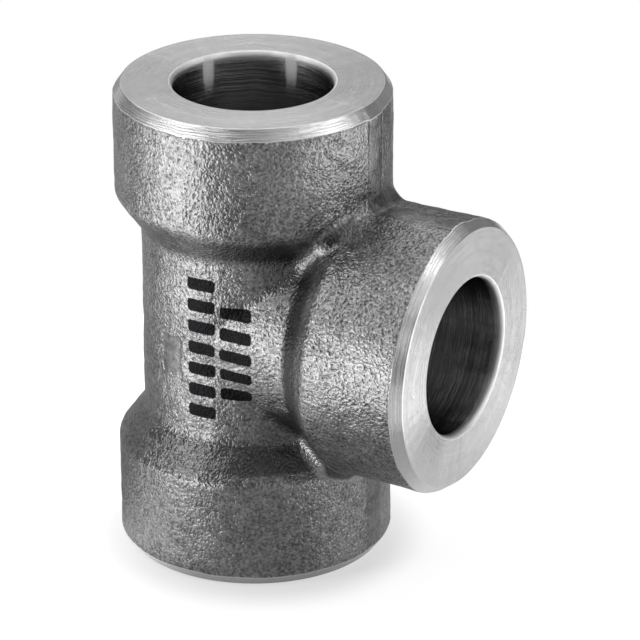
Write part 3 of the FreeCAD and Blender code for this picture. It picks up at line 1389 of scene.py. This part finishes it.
@dataclass(frozen=True)
class Studio:
    """A small white table in a graded white room, and two small hard-edged softboxes.

    The room is made of bands one over the other. What is lowest in it and beside the tee is
    brightest, as beside a lit sweep of paper. The table glows: to the camera as white paper with a
    painted shadow that darkens softly towards the tee's foot, round a centre a little off the axis,
    and to light and reflections by a band of its own, with painted shade where it fades under the
    tee and a faint ring of painted light under the foot's rim.
    """

    view: CameraPlace = CameraPlace()
    lamps: tuple[Softbox, ...] = (
        Softbox("left_box", -67.5, 46.0, 0.75, 0.17, 0.32, 4.5),
        Softbox("right_box", 79.0, 46.0, 0.75, 0.17, 0.32, 2.8),
    )
    bands: tuple[LevelBand, ...] = (
        LevelBand((
            (-166, 0.45), (-141, 0.55), (-121, 0.65), (-104, 1.3), (-87, 1.8), (-68, 3.3),
            (-51, 3.5), (-35, 0.5), (-12, 0.1), (12, 0.85), (35, 0.6), (51, 1), (64, 1.6),
            (78, 2.5), (96, 2.15), (108, 1.35), (120, 0.9), (135, 0), (146, 0.1), (166, 0.75),
        )),
        LevelBand((
            (-166, 0.2), (-141, 0.6), (-121, 0.35), (-104, 0), (-87, 0), (-68, 4.9),
            (-51, 4.45), (-35, 0.1), (-12, 0), (12, 0.6), (35, 0.1), (51, 0.3), (64, 2.35),
            (74, 2.7), (83, 2.1), (92, 0.95), (100, 0.25), (112, 0), (130, 0.3), (146, 0.3),
            (166, 0.1),
        )),
        LevelBand((
            (-166, 0.75), (-141, 0.1), (-121, 0.15), (-104, 0.05), (-87, 0.3), (-68, 1.45),
            (-51, 0), (-35, 0), (-12, 0), (12, 0.8), (35, 0.7), (51, 0.3), (68, 1.4), (87, 0.65),
            (100, 0.6), (112, 0.15), (125, 0.25), (141, 0.2), (166, 0.25),
        )),
        LevelBand((
            (-166, 1.3), (-141, 1.05), (-121, 0.95), (-104, 1.3), (-87, 0.9), (-68, 0.4),
            (-51, 0.35), (-35, 0.1), (-12, 0), (12, 0), (35, 0.85), (51, 0.7), (68, 0.65),
            (87, 1), (104, 0.5), (121, 0.45), (141, 0.25), (166, 1.3),
        )),
        LevelBand((
            (-150, 1.6), (-105, 1.6), (-75, 0), (-45, 0), (-15, 0.8), (15, 0.3), (45, 0.75),
            (75, 0.1), (105, 0.2), (150, 1.6),
        )),
        LevelBand(((0, 0.35),)),
    )
    edges: tuple[float, ...] = (-12.0, 10.0, 30.0, 50.0, 70.0)
    edge_fade: float = 3.0
    table_band: LevelBand = LevelBand((
        (-157, 0.3), (-112, 0.2), (-67, 1.1), (-22, 0.34), (22, 0.25), (67, 0.6), (112, 0.45),
        (157, 0.25),
    ))
    table_radius: float = 0.075
    table_sides: int = 96
    table_albedo: float = 0.15
    shown_albedo: float = 0.49
    # painted shadow on the table, as the camera sees it: the glow's levels, centre and fades
    shown_glow: tuple[float, float, float] = (0.515, 0.235, 0.15)
    shade_centre: Lengths = mm(2.1, -1.7)
    shade_reach: Lengths = mm(16.4, 24.7)
    shade_end: Lengths = mm(30, 45)
    # painted shade under the tee, and a faint ring of painted light under the foot's rim, in what
    # light and reflections see
    open_floor: Lengths = mm(13, 23)
    rim_floor: Lengths = mm(18.6, 19.4)
    rim_level: float = 0.16

    def turn_share(self, x: Field, y: Field) -> Field:
        """The turn of a level direction from the camera's side, as a share of a full turn.

        Args:
            x: the direction's part along X.
            y: its part along Y.

        Returns:
            The share: 0 and 1 straight behind the tee, and a half at the camera.
        """
        towards = self.view.direction(rise=0.0)
        facing = x * towards.x + y * towards.y
        rightwards = y * towards.x - x * towards.y
        return rightwards.maths("ARCTAN2", rightwards, facing) * (1 / FULL_TURN) + 0.5

    def white_table(self) -> Material:
        """The table's material: pale to the camera, and darker to light and reflections.

        Returns:
            The material.
        """
        material = new_material("white_table")
        shading = Shading(material.node_tree)
        x, y, _ = shading.split(shading.field("TexCoord", output="Object"))
        # painted shadow: the camera's glow dips softly towards the tee's foot
        away = (x - self.shade_centre[0]).hypot(y - self.shade_centre[1])
        base, clear, far = self.shown_glow
        glow = base + away.rises(*self.shade_reach) * clear + away.rises(*self.shade_end) * far
        mirrored = self.table_band.level(shading, self.turn_share(x, y))
        # painted shade under the tee, and a ring of painted light under the foot's rim
        mirrored = mirrored * away.rises(*self.open_floor)
        mirrored = mirrored + away.falls(*self.rim_floor) * self.rim_level
        seen = shading.camera_ray()
        albedo = shading.grey(self.table_albedo, self.shown_albedo, seen)
        lit = shading.field("BsdfDiffuse", values={"Color": albedo})
        lamp = shading.white("Emission", mirrored + seen * (glow - mirrored))
        shown = shading.field("AddShader", values={0: lit, 1: lamp})
        shading.add("OutputMaterial", values={"Surface": shown})
        return material

    def table(self) -> Object:
        """The round table on which the tee stands, at height 0.

        Returns:
            The table.
        """
        turn = np.arange(self.table_sides) * FULL_TURN / self.table_sides
        rim = np.stack([np.cos(turn), np.sin(turn), np.zeros_like(turn)], 1) * self.table_radius
        mesh = bpy.data.meshes.new("table")
        mesh.from_pydata(rim.tolist(), [], [list(range(self.table_sides))])
        mesh.materials.append(self.white_table())
        table = new_object("table", mesh)
        table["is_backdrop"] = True
        return table

    def room(self) -> None:
        """Makes the world: white to the camera, the graded room to light and reflections."""
        world = bpy.data.worlds.new("studio_room")
        world.use_nodes = True
        bpy.context.scene.world = world
        shading = Shading(world.node_tree)
        x, y, height = shading.split(shading.field("TexCoord", output="Generated"))
        turn_share = self.turn_share(x, y)
        rise = height.maths("ARCSINE", height) * math.degrees(1.0)
        room = self.bands[0].level(shading, turn_share)
        for edge, band in zip(self.edges, self.bands[1:]):
            above = rise.rises(edge - self.edge_fade, edge + self.edge_fade)
            room = room + above * (band.level(shading, turn_share) - room)
        strength = room + shading.camera_ray() * (1 - room)
        shader = shading.white("Background", strength)
        shading.add("OutputWorld", values={"Surface": shader})

    def build(self, crossing_height: float) -> None:
        """Makes the camera, the table, the room and the lamps.

        Args:
            crossing_height: the height of the crossing of the axes.
        """
        self.view.build(crossing_height)
        self.table()
        self.room()
        centre = Vector((0.0, 0.0, crossing_height))
        for lamp in self.lamps:
            lamp.build(self.view, centre)
        bpy.context.scene.view_settings.view_transform = "Standard"


@dataclass
class SocketWeldTee:
    """The tee: its sizes, its forging and its finishes."""

    sizes: FittingSizes
    relief: Relief = Relief()
    skin: ForgedSkin = ForgedSkin()
    turned: TurnedSteel = TurnedSteel()
    bore: SocketBore = SocketBore()

    def build(self) -> Object:
        """Makes the tee and dresses it.

        Returns:
            The tee's object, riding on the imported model's body.
        """
        arm = ArmOutline(self.sizes.band_radius)
        tee = TeeSurface(self.sizes, Forging(arm), self.relief).build("forged_tee")
        finishes = {
            Finish.FORGED_SKIN: self.skin.build(self.sizes, arm, self.relief),
            Finish.TURNED_STEEL: self.turned.build(self.sizes),
            Finish.SOCKET_BORE: self.bore.build(self.sizes),
        }
        for finish in Finish:
            tee.data.materials.append(finishes[finish])
        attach(tee, "root")
        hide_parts(NODE)
        log.info("%s: %d faces", tee.name, len(tee.data.polygons))
        return tee


def main() -> None:
    """Builds the studio and the tee, and notes their sizes."""
    logging.basicConfig(level=logging.INFO, format="%(name)s: %(message)s")
    sizes = FittingSizes.from_frame()
    Studio().build(sizes.crossing_height)
    SocketWeldTee(sizes).build()
    {"cad": cad_box, "visual": corners(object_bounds())}


if __name__ == "__main__":
    main()
